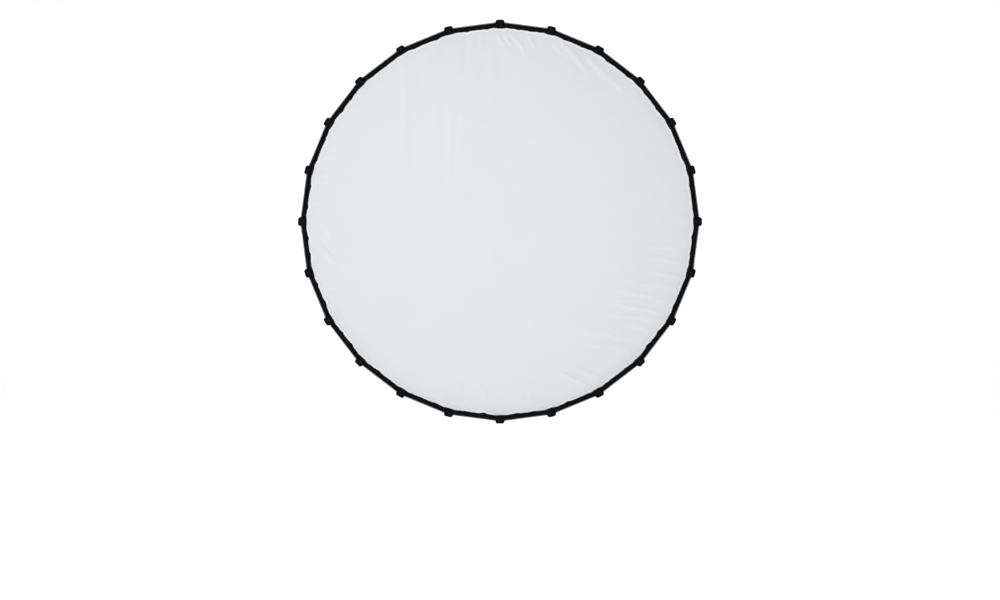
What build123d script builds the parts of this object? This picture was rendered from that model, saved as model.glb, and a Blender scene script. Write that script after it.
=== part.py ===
from build123d import *

import os
from math import acos, atan2, cos, degrees, hypot, radians, sin, sqrt, tan

# Folding round softbox with 24 ribs: a 24-sided fabric bowl that a lamp lights from its small end.
# Millimetres. The lamp's seat is at the origin, the open front faces -Y and +Z is up.
# A point of a rib's own plane is (r, f): r out from the lamp's axis, f forward from the seat.

# --- driving dimensions -------------------------------------------------------------------------
RIB_COUNT = 24
STEP = 360 / RIB_COUNT  # degrees from one rib to the next
HALF_STEP = STEP / 2

HINGE_R, HINGE_F = 82.0, 15.0  # the rib's hinge in the hub
ROOT_ANGLE, TIP_ANGLE = 28.0, 70.0  # the open rib's direction, from the radius towards the front
ROOT_LENGTH = 88.0  # straight root fitting, measured from the hinge
TIP_R = 592.0  # the open rib's end
FOLDED_TIP_R = 130.0  # where that end stands once the frame is folded
ROD_R = 2.5
CAP_WIDTH, CAP_IN, CAP_OUT = 27.0, 9.0, 14.0  # moulded end cap: across, and in and out from the rod
CAP_BACK, CAP_FRONT, CAP_ROUND = 18.0, 8.0, 6.5

BAR_HALF, BAR_THICK = 4.2, 4.4  # flat part of the root fitting
EYE_R = 5.0
PIN_R, PIN_LENGTH = 1.5, 13.0
RUNNING_FIT = 0.05  # radial clearance of a hinge pin
SIDE_GAP = 0.3  # clearance beside a moving plate
FERRULE_START, FERRULE_R, ROD_SOCKET = 58.0, 4.0, 24.0
GLUE = 0.03  # film between the rod and what is fixed on it

LINK_REACH, LINK_LENGTH = 22.0, 56.0  # rib's hinge to link's rivet, and rivet to runner's pin
LINK_WIDTH, LINK_THICK = 7.6, 2.0
LINK_SIDE = BAR_THICK / 2 + 0.4  # the link lies beside the rib's bar
RIVET_R, RIVET_HEAD_R, RIVET_HEAD = 1.5, 3.2, 1.2
RIVET_PLAY = 0.25  # room round the rivet in the rib's slot, beyond the drift that it needs

RUNNER_PIVOT_R = 62.0  # the link's hinge in the runner
RUNNER_IN, RUNNER_OUT, RUNNER_HALF = 50.0, 67.0, 7.0
RUNNER_PIN_LENGTH = 9.0

HUB_IN, HUB_OUT, HUB_BACK, HUB_FRONT = 50.0, 92.0, 3.0, 27.0
SLOT_IN, SLOT_BACK = 75.0, 8.0
GUIDE_R, GUIDE_AT_R, GUIDE_COUNT = 3.0, 56.0, 4
GUIDE_FIRST = 1.5 * STEP  # between two ribs
GUIDE_HEAD_R, GUIDE_HEAD = 4.4, 3.0
GUIDE_FOOT = 12.0  # how deep a guide rod stands in the hub

THROAT_R = 46.0
FLANGE_OUT = 66.0
SPIGOT_OUT, SPIGOT_LENGTH = 48.5, 8.0
LUG_OUT, LUG_THICK, LUG_SPAN = 53.0, 3.0, 40.0  # three bayonet lugs
SCREW_R, SCREW_HEAD_R, SCREW_LENGTH, SCREW_AT_R, SCREW_COUNT = 1.5, 3.0, 10.0, 59.0, 4

BUTTON_ANGLE = 180.0  # lowest on the runner's inside
BUTTON_R, BUTTON_HEIGHT, BUTTON_STEM_R, BUTTON_STEM = 5.5, 3.5, 2.0, 6.8
BUTTON_TRAVEL = 2.0
SPRING_R, SPRING_WIRE_R, SPRING_TURNS, SPRING_LENGTH = 3.0, 0.35, 4, 4.0
POCKET_R, POCKET_DEPTH = 4.0, 4.2  # the spring's seat in the runner

SHELL_IN, SHELL_OUT = 4.6, 6.0  # the shell's two faces, out from the rib's centre line
SHELL_START_R = 109.0
BAND_IN, BAND_OUT, BAND_WIDTH = -6.0, -4.4, 34.0  # loop tape sewn inside the rim
CLOTH = 1.2
DIFFUSER_BEHIND_RIM = 8.0
BAFFLE_F, BAFFLE_GAP = 300.0, 26.0
NOTCH = 0.5  # room that the fabric leaves round an end cap

# --- worked out from them -----------------------------------------------------------------------
ROOT_END = (
    HINGE_R + ROOT_LENGTH * cos(radians(ROOT_ANGLE)),
    HINGE_F + ROOT_LENGTH * sin(radians(ROOT_ANGLE)),
)
BEND_R = (TIP_R - ROOT_END[0]) / (sin(radians(TIP_ANGLE)) - sin(radians(ROOT_ANGLE)))
BEND_CENTRE = (
    ROOT_END[0] - BEND_R * sin(radians(ROOT_ANGLE)),
    ROOT_END[1] + BEND_R * cos(radians(ROOT_ANGLE)),
)
TIP_F = BEND_CENTRE[1] - BEND_R * cos(radians(TIP_ANGLE))
RIB_CHORD = hypot(TIP_R - HINGE_R, TIP_F - HINGE_F)
FOLD_DEG = degrees(acos((FOLDED_TIP_R - HINGE_R) / RIB_CHORD) - atan2(TIP_F - HINGE_F, TIP_R - HINGE_R))


def link_joint(fold: float) -> tuple:
    """(r, f) of the point where the link joins the rib, the rib folded by that many degrees."""
    at = radians(ROOT_ANGLE + fold)
    return HINGE_R + LINK_REACH * cos(at), HINGE_F + LINK_REACH * sin(at)


def runner_at(fold: float) -> float:
    """Where the runner stands, forward from the seat, if the link joins the rib exactly."""
    r, f = link_joint(fold)
    return f + sqrt(LINK_LENGTH**2 - (r - RUNNER_PIVOT_R) ** 2)


def link_angle_at(fold: float) -> float:
    """The link's direction in the rib's plane if it joins the rib exactly, in degrees."""
    r, f = link_joint(fold)
    return degrees(atan2(f - runner_at(fold), r - RUNNER_PIVOT_R))


OPEN_JOINT = link_joint(0)
RUNNER_OPEN_F, RUNNER_FOLDED_F = runner_at(0), runner_at(FOLD_DEG)
RUNNER_TRAVEL = RUNNER_FOLDED_F - RUNNER_OPEN_F
LINK_OPEN_DEG = link_angle_at(0)
LINK_SWING_DEG = link_angle_at(FOLD_DEG) - LINK_OPEN_DEG


def rivet_drift(share: float) -> tuple:
    """How far the rivet stands off its open place in the rib's bar: along the bar, and across.

    The runner and the link move in proportion to the rib's fold, so the rivet needs a short slot.
    """
    fold = share * FOLD_DEG
    link_at = radians(LINK_OPEN_DEG + share * LINK_SWING_DEG)
    off_r = RUNNER_PIVOT_R + LINK_LENGTH * cos(link_at) - link_joint(fold)[0]
    off_f = RUNNER_OPEN_F + share * RUNNER_TRAVEL + LINK_LENGTH * sin(link_at) - link_joint(fold)[1]
    bar = radians(ROOT_ANGLE + fold)
    return off_r * cos(bar) + off_f * sin(bar), off_f * cos(bar) - off_r * sin(bar)


DRIFTS = [rivet_drift(i / 20) for i in range(21)]
ALONG_MIN, ALONG_MAX = min(d[0] for d in DRIFTS), max(d[0] for d in DRIFTS)
ACROSS_MIN, ACROSS_MAX = min(d[1] for d in DRIFTS), max(d[1] for d in DRIFTS)
GUIDE_END_F = RUNNER_FOLDED_F + RUNNER_HALF + 1.5

# A rib's plane: local x is r, local y is f, local z runs along the hinge pin.
RIB_PLANE = Plane(origin=(0, 0, 0), x_dir=(0, 0, 1), z_dir=(1, 0, 0))
# The lamp's axis, pointing forward: local x is up, local z is f.
AXIS_PLANE = Plane(origin=(0, 0, 0), x_dir=(0, 0, 1), z_dir=(0, -1, 0))


def around(shape, angle: float):
    """The shape turned about the lamp's axis, clockwise seen from the front."""
    return Rot(0, angle, 0) * shape


def ring_of(shape, count: int, first: float = 0.0) -> list:
    """Copies of the shape, evenly spaced about the lamp's axis."""
    return [around(shape, first + i * 360 / count) for i in range(count)]


def rod_across(r: float, f: float, radius: float, start: float, end: float):
    """A round rod across the rib's plane at (r, f), from one sideways position to the other."""
    return RIB_PLANE * Pos(r, f, (start + end) / 2) * Cylinder(radius, end - start)


def ring(inner: float, outer: float, back: float, front: float):
    """A ring about the lamp's axis."""
    middle = Pos(0, 0, (back + front) / 2)
    return AXIS_PLANE * middle * (Cylinder(outer, front - back) - Cylinder(inner, front - back + 1))


def along_rib(distance: float, side: float = 0.0) -> tuple:
    """(r, f) at a distance from the hinge along the open rib, moved out from its centre line."""
    angle = radians(ROOT_ANGLE)
    r, f = HINGE_R + distance * cos(angle), HINGE_F + distance * sin(angle)
    if distance > ROOT_LENGTH:
        angle += (distance - ROOT_LENGTH) / BEND_R
        r, f = BEND_CENTRE[0] + BEND_R * sin(angle), BEND_CENTRE[1] - BEND_R * cos(angle)
    return r + side * sin(angle), f - side * cos(angle)


RIB_LENGTH = ROOT_LENGTH + BEND_R * radians(TIP_ANGLE - ROOT_ANGLE)


def rib_at_depth(f: float) -> float:
    """How far out the open rib's curved centre line is at that depth."""
    return BEND_CENTRE[0] + sqrt(BEND_R**2 - (BEND_CENTRE[1] - f) ** 2)


def rib_rod(radius: float):
    """The sprung rod: straight in its ferrule, then one long bend to the rim."""
    start = along_rib(ROOT_LENGTH - ROD_SOCKET)
    path = RIB_PLANE * (
        Line(start, ROOT_END)
        + ThreePointArc(ROOT_END, along_rib((ROOT_LENGTH + RIB_LENGTH) / 2), along_rib(RIB_LENGTH))
    )
    return sweep(Plane(origin=path @ 0, z_dir=path % 0) * Circle(radius), path=path)


def rib_root(rod_hole):
    """The root fitting: hinge eye, flat bar with the rivet's slot, and the ferrule for the rod."""
    turned = Rot(0, 0, ROOT_ANGLE)
    bar_length = FERRULE_START + 4
    at_hinge = RIB_PLANE * Pos(HINGE_R, HINGE_F) * turned
    bar = at_hinge * Pos(bar_length / 2, 0) * Box(bar_length, 2 * BAR_HALF, BAR_THICK)
    eye = at_hinge * Cylinder(EYE_R, BAR_THICK)
    middle = (FERRULE_START + ROOT_LENGTH) / 2
    ferrule = at_hinge * Pos(middle, 0) * Rot(0, 90, 0) * Cylinder(FERRULE_R, ROOT_LENGTH - FERRULE_START)
    hole = rod_across(HINGE_R, HINGE_F, PIN_R + RUNNING_FIT, -BAR_THICK, BAR_THICK)
    slot_half = RIVET_R + RIVET_PLAY + (ACROSS_MAX - ACROSS_MIN) / 2
    slot_run = max(ALONG_MAX - ALONG_MIN - (ACROSS_MAX - ACROSS_MIN), 0.5)
    slot_at = Pos(LINK_REACH + (ALONG_MIN + ALONG_MAX) / 2, (ACROSS_MIN + ACROSS_MAX) / 2)
    slot = at_hinge * slot_at * extrude(SlotCenterToCenter(slot_run, 2 * slot_half), BAR_THICK, both=True)
    return bar + eye + ferrule - hole - slot - rod_hole


def cap_block(room: float = 0.0):
    """The end cap's outline as a block, or with room all round it."""
    high, deep = CAP_IN + CAP_OUT + 2 * room, CAP_BACK + CAP_FRONT + 2 * room
    at = Pos(TIP_R + (CAP_OUT - CAP_IN) / 2, TIP_F + (CAP_FRONT - CAP_BACK) / 2)
    return RIB_PLANE * at * Box(high, deep, CAP_WIDTH + 2 * room)


def end_cap(rod_hole):
    """The moulded cap on the rod's end, which is the knob at each corner of the rim."""
    block = cap_block()
    return fillet(block.edges(), CAP_ROUND) - rod_hole


def rib() -> list:
    """One rib's solids: rod, root fitting and end cap."""
    rod_hole = rib_rod(ROD_R + GLUE)
    return [rib_rod(ROD_R), rib_root(rod_hole), end_cap(rod_hole)]


def link() -> list:
    """One link's solids: a plate beside the rib's bar, with the rivet that passes through the bar's slot."""
    angle = Rot(0, 0, LINK_OPEN_DEG)
    side = LINK_SIDE + LINK_THICK / 2
    plate = SlotCenterToCenter(LINK_LENGTH, LINK_WIDTH)
    flat = extrude(plate, LINK_THICK / 2, both=True)
    body = RIB_PLANE * Pos(RUNNER_PIVOT_R, RUNNER_OPEN_F, side) * angle * Pos(LINK_LENGTH / 2, 0) * flat
    outer = LINK_SIDE + LINK_THICK
    pin_hole = rod_across(RUNNER_PIVOT_R, RUNNER_OPEN_F, PIN_R + RUNNING_FIT, 0, outer + 1)
    rivet_hole = rod_across(*OPEN_JOINT, RIVET_R, 0, outer + 1)
    far = -BAR_THICK / 2 - SIDE_GAP
    rivet = rod_across(*OPEN_JOINT, RIVET_R, far - 0.1, outer + 0.1)
    head = rod_across(*OPEN_JOINT, RIVET_HEAD_R, outer, outer + RIVET_HEAD)
    far_head = rod_across(*OPEN_JOINT, RIVET_HEAD_R, far - RIVET_HEAD, far)
    return [body - pin_hole - rivet_hole, rivet + head + far_head]


def rib_hub():
    """The hub: a ring with a slot for each rib and a hole for each hinge pin and guide rod."""
    body = ring(HUB_IN, HUB_OUT, HUB_BACK, HUB_FRONT)
    deep, high = HUB_FRONT - SLOT_BACK + 2, HUB_OUT - SLOT_IN + 2
    width = BAR_THICK + 2 * SIDE_GAP
    slot = RIB_PLANE * Pos(SLOT_IN + high / 2, SLOT_BACK + deep / 2) * Box(high, deep, width)
    pin = rod_across(HINGE_R, HINGE_F, PIN_R, -PIN_LENGTH / 2, PIN_LENGTH / 2)
    body -= ring_of(slot, RIB_COUNT)
    body -= ring_of(pin, RIB_COUNT)
    body -= guide_posts()
    body -= screws()
    edges = body.edges().filter_by(GeomType.CIRCLE)
    outer = [e for e in edges if abs(e.radius - HUB_OUT) < 0.01 and abs(e.center().Y + HUB_BACK) < 0.01]
    return chamfer(outer, 1.5)


def guide_posts() -> list:
    """The guide rods without their heads, as they stand in the hub."""
    back = HUB_FRONT - GUIDE_FOOT
    post = AXIS_PLANE * Pos(GUIDE_AT_R, 0, (back + GUIDE_END_F) / 2) * Cylinder(GUIDE_R, GUIDE_END_F - back)
    return ring_of(post, GUIDE_COUNT, GUIDE_FIRST)


def guide_rods():
    """Four guide rods for the runner, each with a stop head at its front end."""
    middle = GUIDE_END_F + GUIDE_HEAD / 2
    head = AXIS_PLANE * Pos(GUIDE_AT_R, 0, middle) * Cylinder(GUIDE_HEAD_R, GUIDE_HEAD)
    heads = ring_of(head, GUIDE_COUNT, GUIDE_FIRST)
    return Compound(children=[post + top for post, top in zip(guide_posts(), heads)])


def screws() -> list:
    """Countersunk screws that hold the bayonet ring on the hub."""
    shank = AXIS_PLANE * Pos(SCREW_AT_R, 0, SCREW_LENGTH / 2) * Cylinder(SCREW_R, SCREW_LENGTH)
    cone_height = SCREW_HEAD_R - SCREW_R
    head = AXIS_PLANE * Pos(SCREW_AT_R, 0, cone_height / 2) * Cone(SCREW_HEAD_R, SCREW_R, cone_height)
    return ring_of(shank + head, SCREW_COUNT, 45)


def bayonet_ring():
    """The lamp's bayonet: flange, spigot and three lugs."""
    body = ring(THROAT_R, FLANGE_OUT, 0, HUB_BACK)
    body += ring(THROAT_R, SPIGOT_OUT, -SPIGOT_LENGTH, 0)
    reach = 2 * LUG_OUT
    half = radians(LUG_SPAN / 2)
    sector = Polygon((0, 0), (reach, -reach * tan(half)), (reach, reach * tan(half)), align=None)
    wedge = AXIS_PLANE * Pos(0, 0, -SPIGOT_LENGTH) * extrude(sector, LUG_THICK)
    lug_ring = ring(SPIGOT_OUT - 0.5, LUG_OUT, -SPIGOT_LENGTH, LUG_THICK - SPIGOT_LENGTH)
    for turned in ring_of(wedge, 3):
        body += lug_ring & turned
    for screw in screws():
        body -= screw
    return body


def hinge_pins(r: float, f: float, length: float, middle: float):
    """One pin for each rib, across its plane."""
    pin = rod_across(r, f, PIN_R, middle - length / 2, middle + length / 2)
    return Compound(children=ring_of(pin, RIB_COUNT))


def at_button(f_shift: float = 0.0):
    """Where the release button is: local z points out from the lamp's axis."""
    turned = Rot(0, BUTTON_ANGLE, 0)
    return turned * Pos(0, -RUNNER_OPEN_F - f_shift, 0)


def runner_ring():
    """The runner: slides on the guide rods and carries the inner end of every link."""
    back, front = RUNNER_OPEN_F - RUNNER_HALF, RUNNER_OPEN_F + RUNNER_HALF
    body = ring(RUNNER_IN, RUNNER_OUT, back, front)
    width = LINK_THICK + 2 * SIDE_GAP
    slot_in = RUNNER_PIVOT_R - LINK_WIDTH / 2 - 1
    high = RUNNER_OUT - slot_in + 2
    at = Pos(slot_in + high / 2, RUNNER_OPEN_F, LINK_SIDE + LINK_THICK / 2)
    slot = RIB_PLANE * at * Box(high, 2 * RUNNER_HALF + 2, width)
    pin_middle = LINK_SIDE + LINK_THICK / 2
    half = RUNNER_PIN_LENGTH / 2
    pin = rod_across(RUNNER_PIVOT_R, RUNNER_OPEN_F, PIN_R, pin_middle - half, pin_middle + half)
    guide = AXIS_PLANE * Pos(GUIDE_AT_R, 0, RUNNER_OPEN_F)
    guide *= Cylinder(GUIDE_R + RUNNING_FIT, 2 * RUNNER_HALF + 2)
    body -= ring_of(slot, RIB_COUNT)
    body -= ring_of(pin, RIB_COUNT)
    body -= ring_of(guide, GUIDE_COUNT, GUIDE_FIRST)
    stem_end = RUNNER_PIVOT_R - LINK_WIDTH / 2 - 1
    stem = at_button() * Pos(0, 0, (RUNNER_IN + stem_end) / 2)
    stem *= Cylinder(BUTTON_STEM_R + RUNNING_FIT, stem_end - RUNNER_IN)
    pocket = at_button() * Pos(0, 0, RUNNER_IN + POCKET_DEPTH / 2 - 1) * Cylinder(POCKET_R, POCKET_DEPTH + 2)
    return body - stem - pocket


def release_button():
    """The button that frees the runner: a head inside the ring and a stem through it."""
    head_middle = RUNNER_IN - BUTTON_TRAVEL - BUTTON_HEIGHT / 2 - 0.4
    head = at_button() * Pos(0, 0, head_middle) * Cylinder(BUTTON_R, BUTTON_HEIGHT)
    stem_start = head_middle + BUTTON_HEIGHT / 2 - 0.5
    stem = at_button() * Pos(0, 0, stem_start + BUTTON_STEM / 2) * Cylinder(BUTTON_STEM_R, BUTTON_STEM)
    return head + stem


def button_spring():
    """The coil spring under the button's head."""
    pitch = (SPRING_LENGTH - 2 * SPRING_WIRE_R) / SPRING_TURNS
    path = Helix(pitch, pitch * SPRING_TURNS, SPRING_R)
    coil = sweep(Plane(origin=path @ 0, z_dir=path % 0) * Circle(SPRING_WIRE_R), path=path)
    return at_button() * Pos(0, 0, RUNNER_IN - BUTTON_TRAVEL + SPRING_WIRE_R) * coil


def gore_profile(inner: float, outer: float, start: float, end: float):
    """A strip of cloth in section between two faces, seen in the plane midway between two ribs.

    A rib plane's outline is drawn with its radii times the cosine of half a step, which is where a
    flat strip from rib to rib lies in that plane. inner and outer are the faces' distances out from
    the rib's centre line, start and end the distances along it.
    """
    shrink = cos(radians(HALF_STEP))

    def at(distance: float, side: float) -> tuple:
        r, f = along_rib(distance, side)
        return r * shrink, f

    if start < ROOT_LENGTH:
        bend, middle = ROOT_LENGTH + 0.01, (ROOT_LENGTH + end) / 2
        edges = [
            Line(at(start, inner), at(bend, inner)),
            ThreePointArc(at(bend, inner), at(middle, inner), at(end, inner)),
            Line(at(end, inner), at(end, outer)),
            ThreePointArc(at(end, outer), at(middle, outer), at(bend, outer)),
            Line(at(bend, outer), at(start, outer)),
            Line(at(start, outer), at(start, inner)),
        ]
        return make_face(edges)
    corners = [at(start, inner), at(end, inner), at(end, outer), at(start, outer)]
    return make_face(Polyline(corners, close=True))


def gore_strip(profile):
    """The profile carried across from one rib's plane to the next, less the room for the end caps."""
    reach = 1.2 * TIP_R
    half = radians(HALF_STEP)
    sector = Polygon((0, 0), (reach, -reach * tan(half)), (reach, reach * tan(half)), align=None)
    wedge = AXIS_PLANE * extrude(sector, TIP_F + CAP_FRONT)
    strip = extrude(RIB_PLANE * profile, reach * tan(half), both=True) & wedge
    for side in (-HALF_STEP, HALF_STEP):
        strip -= around(cap_block(NOTCH), side)
    return strip


def outer_shell():
    """The fabric bowl: a flat-sided gore between each two ribs, and the loop tape inside its rim."""
    start = (SHELL_START_R - HINGE_R - SHELL_IN * sin(radians(ROOT_ANGLE))) / cos(radians(ROOT_ANGLE))
    gore = gore_strip(gore_profile(SHELL_IN, SHELL_OUT, start, RIB_LENGTH))
    band = gore_strip(gore_profile(BAND_IN, BAND_OUT, RIB_LENGTH - BAND_WIDTH, RIB_LENGTH))
    return Compound(children=[s for one in ring_of(gore, RIB_COUNT, HALF_STEP) for s in one.solids()]
                    + [s for one in ring_of(band, RIB_COUNT, HALF_STEP) for s in one.solids()])


def cloth_disc(corner_r: float, f: float):
    """A 24-sided sheet of cloth across the bowl, its corners in the ribs' planes."""
    sheet = RegularPolygon(corner_r, RIB_COUNT)
    return AXIS_PLANE * Pos(0, 0, f) * extrude(sheet, CLOTH)


def parts() -> dict:
    """Every node's name and shape."""
    diffuser_f = TIP_F - DIFFUSER_BEHIND_RIM
    made = {
        "bayonet_ring": bayonet_ring(),
        "bayonet_screws": Compound(children=screws()),
        "rib_hub": rib_hub(),
        "rib_hinge_pins": hinge_pins(HINGE_R, HINGE_F, PIN_LENGTH, 0),
        "guide_rods": guide_rods(),
        "runner_ring": runner_ring(),
        "runner_pins": hinge_pins(RUNNER_PIVOT_R, RUNNER_OPEN_F, RUNNER_PIN_LENGTH, LINK_SIDE + LINK_THICK / 2),
        "release_button": release_button(),
        "button_spring": button_spring(),
        "outer_shell": outer_shell(),
        "front_diffuser": cloth_disc(rib_at_depth(diffuser_f) + BAND_IN - 1.0, diffuser_f),
        "inner_baffle": cloth_disc(rib_at_depth(BAFFLE_F) - BAFFLE_GAP, BAFFLE_F),
    }
    one_rib, one_link = rib(), link()
    for i in range(RIB_COUNT):
        made[f"rib_{i + 1:02d}"] = Compound(children=[around(s, i * STEP) for s in one_rib])
        made[f"link_{i + 1:02d}"] = Compound(children=[around(s, i * STEP) for s in one_link])
    return made


def main() -> None:
    """Writes one STEP file for each node."""
    os.makedirs("parts", exist_ok=True)
    for name, shape in parts().items():
        export_step(shape, f"parts/{name}.step")
    print(f"tip at r {TIP_R:.1f}, f {TIP_F:.1f}; rib {RIB_LENGTH:.1f} long, bend radius {BEND_R:.1f}")
    print(f"fold {FOLD_DEG:.2f} deg, runner {RUNNER_TRAVEL:.2f} mm, link swing {LINK_SWING_DEG:.2f} deg")
    print(f"runner f {RUNNER_OPEN_F:.2f}, rivet joint {OPEN_JOINT[0]:.2f} {OPEN_JOINT[1]:.2f}")
    print(f"drift along {ALONG_MIN:.2f} {ALONG_MAX:.2f}, across {ACROSS_MIN:.2f} {ACROSS_MAX:.2f}")


if __name__ == "__main__":
    main()
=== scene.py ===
"""The looks of a folding round softbox: black cloth bowl on 24 ribs, white front sheet, bayonet hub.

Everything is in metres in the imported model's frame: the lamp's seat is at the origin, the open front
faces -Y and +Z is up. A rib's own plane has two coordinates, r out from the lamp's axis and f forward.
"""

from __future__ import annotations

import logging
import math
from collections.abc import Callable, Sequence
from dataclasses import dataclass, field
from enum import Enum

import bpy
import numpy as np
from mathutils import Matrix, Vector

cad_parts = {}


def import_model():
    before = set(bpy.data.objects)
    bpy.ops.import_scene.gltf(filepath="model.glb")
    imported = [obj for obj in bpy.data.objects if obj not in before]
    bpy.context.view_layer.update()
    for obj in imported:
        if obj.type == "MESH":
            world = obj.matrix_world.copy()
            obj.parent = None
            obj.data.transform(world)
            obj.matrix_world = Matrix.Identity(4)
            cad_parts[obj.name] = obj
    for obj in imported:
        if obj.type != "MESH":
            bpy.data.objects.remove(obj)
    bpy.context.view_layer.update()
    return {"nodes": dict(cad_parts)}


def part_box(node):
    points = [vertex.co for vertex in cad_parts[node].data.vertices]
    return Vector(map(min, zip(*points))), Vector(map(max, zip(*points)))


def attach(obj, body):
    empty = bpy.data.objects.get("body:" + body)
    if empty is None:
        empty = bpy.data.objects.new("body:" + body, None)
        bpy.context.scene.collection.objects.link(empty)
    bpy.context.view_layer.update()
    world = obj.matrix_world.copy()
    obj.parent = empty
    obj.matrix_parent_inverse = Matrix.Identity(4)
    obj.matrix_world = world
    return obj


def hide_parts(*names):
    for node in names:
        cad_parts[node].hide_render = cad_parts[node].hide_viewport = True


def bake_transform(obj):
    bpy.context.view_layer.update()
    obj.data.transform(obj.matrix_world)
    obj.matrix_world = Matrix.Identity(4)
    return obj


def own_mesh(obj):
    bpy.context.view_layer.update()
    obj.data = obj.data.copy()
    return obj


log = logging.getLogger("softbox")

RIB_COUNT = 24
STEP = 2 * math.pi / RIB_COUNT
HALF_STEP = STEP / 2
MM = 0.001


# --- shader maths --------------------------------------------------------------------------------
class Value:
    """A shader socket that Python's operators work on, each adding a Math node."""

    def __init__(self, shader: Shader, socket: bpy.types.NodeSocket) -> None:
        """Wraps a socket.

        Args:
            shader: the material being built.
            socket: the output socket.
        """
        self.shader = shader
        self.socket = socket

    def _math(self, operation: str, left: Value | float, right: Value | float) -> Value:
        """A Math node on two numbers or sockets."""
        return self.shader.node("ShaderNodeMath", {"operation": operation}, {0: left, 1: right})

    def __add__(self, other: Value | float) -> Value:
        """self + other."""
        return self._math("ADD", self, other)

    def __radd__(self, other: float) -> Value:
        """other + self."""
        return self._math("ADD", other, self)

    def __sub__(self, other: Value | float) -> Value:
        """self - other."""
        return self._math("SUBTRACT", self, other)

    def __rsub__(self, other: float) -> Value:
        """other - self."""
        return self._math("SUBTRACT", other, self)

    def __mul__(self, other: Value | float) -> Value:
        """self * other."""
        return self._math("MULTIPLY", self, other)

    def __rmul__(self, other: float) -> Value:
        """other * self."""
        return self._math("MULTIPLY", other, self)

    def sine(self) -> Value:
        """The sine of self."""
        return self._math("SINE", self, 0.0)

    def at_most(self, limit: float) -> Value:
        """The smaller of self and a limit."""
        return self._math("MINIMUM", self, limit)

    def absolute(self) -> Value:
        """self without its sign."""
        return self._math("ABSOLUTE", self, 0.0)


class Shader:
    """One material under construction, with a Principled shader and its output."""

    def __init__(self, name: str, **fixed: float | tuple) -> None:
        """Starts a material.

        Args:
            name: the material's name.
            fixed: Principled inputs that are the same all over, with underscores for spaces.
        """
        self.material = bpy.data.materials.new(name)
        self.material.use_nodes = True
        self.tree = self.material.node_tree
        self.tree.nodes.clear()
        self.principled = self.tree.nodes.new("ShaderNodeBsdfPrincipled")
        output = self.tree.nodes.new("ShaderNodeOutputMaterial")
        self.tree.links.new(self.principled.outputs[0], output.inputs["Surface"])
        for key, value in fixed.items():
            self.principled.inputs[key.replace("_", " ")].default_value = value

    def node(self, kind: str, settings: dict, values: dict, output: int | str = 0) -> Value:
        """Adds any node.

        Args:
            kind: the node's type.
            settings: its properties, set first. "stops" fills a colour ramp.
            values: numbers, tuples or sockets for its inputs.
            output: which output to return.

        Returns:
            That output.
        """
        made = self.tree.nodes.new(kind)
        for key, value in settings.items():
            if key == "stops":
                self._fill_ramp(made.color_ramp, value)
            else:
                setattr(made, key, value)
        for key, value in values.items():
            if isinstance(value, Value):
                self.tree.links.new(value.socket, made.inputs[key])
            else:
                made.inputs[key].default_value = value
        return Value(self, made.outputs[output])

    @staticmethod
    def _fill_ramp(ramp: bpy.types.ColorRamp, stops: Sequence[tuple[float, tuple]]) -> None:
        """Gives a colour ramp its stops."""
        while len(ramp.elements) < len(stops):
            ramp.elements.new(0.5)
        for element, (position, colour) in zip(ramp.elements, stops):
            element.position = position
            element.color = colour

    def place(self) -> Value:
        """The surface point in the model's own coordinates, in metres."""
        return self.node("ShaderNodeTexCoord", {}, {}, "Object")

    def cloth_place(self) -> Value:
        """The point on the piece's own cloth map, in metres across and along."""
        return self.node("ShaderNodeUVMap", {"uv_map": "Cloth"}, {}, 0)

    def noise(self, place: Value, scale: float, detail: float = 3.0, stretch: tuple = (1, 1, 1)) -> Value:
        """Fractal noise from 0 to 1.

        Args:
            place: the coordinates.
            scale: features to the metre.
            detail: octaves.
            stretch: the scale along each axis.

        Returns:
            The noise.
        """
        spread = self.node("ShaderNodeMapping", {}, {"Vector": place, "Scale": stretch})
        values = {"Vector": spread, "Scale": scale, "Detail": detail, "Roughness": 0.55}
        return self.node("ShaderNodeTexNoise", {}, values, 0)

    def ramp(self, amount: Value, low: tuple, high: tuple) -> Value:
        """A colour between two, by an amount from 0 to 1."""
        settings = {"stops": [(0.25, (*low, 1)), (0.75, (*high, 1))]}
        return self.node("ShaderNodeValToRGB", settings, {"Fac": amount})

    def feed(self, name: str, value: Value) -> None:
        """Links a value to an input of the Principled shader."""
        self.tree.links.new(value.socket, self.principled.inputs[name])

    def bump(self, height: Value, strength: float, distance: float) -> None:
        """Raises the surface by a height.

        Args:
            height: from 0 to 1.
            strength: how much of it shows.
            distance: the height of 1, in metres.
        """
        values = {"Height": height, "Strength": strength, "Distance": distance}
        self.feed("Normal", self.node("ShaderNodeBump", {}, values, "Normal"))


class Weave(Enum):
    """How a cloth is made."""

    PLAIN = "plain"
    RIPSTOP = "ripstop"
    LOOP = "loop"


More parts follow.
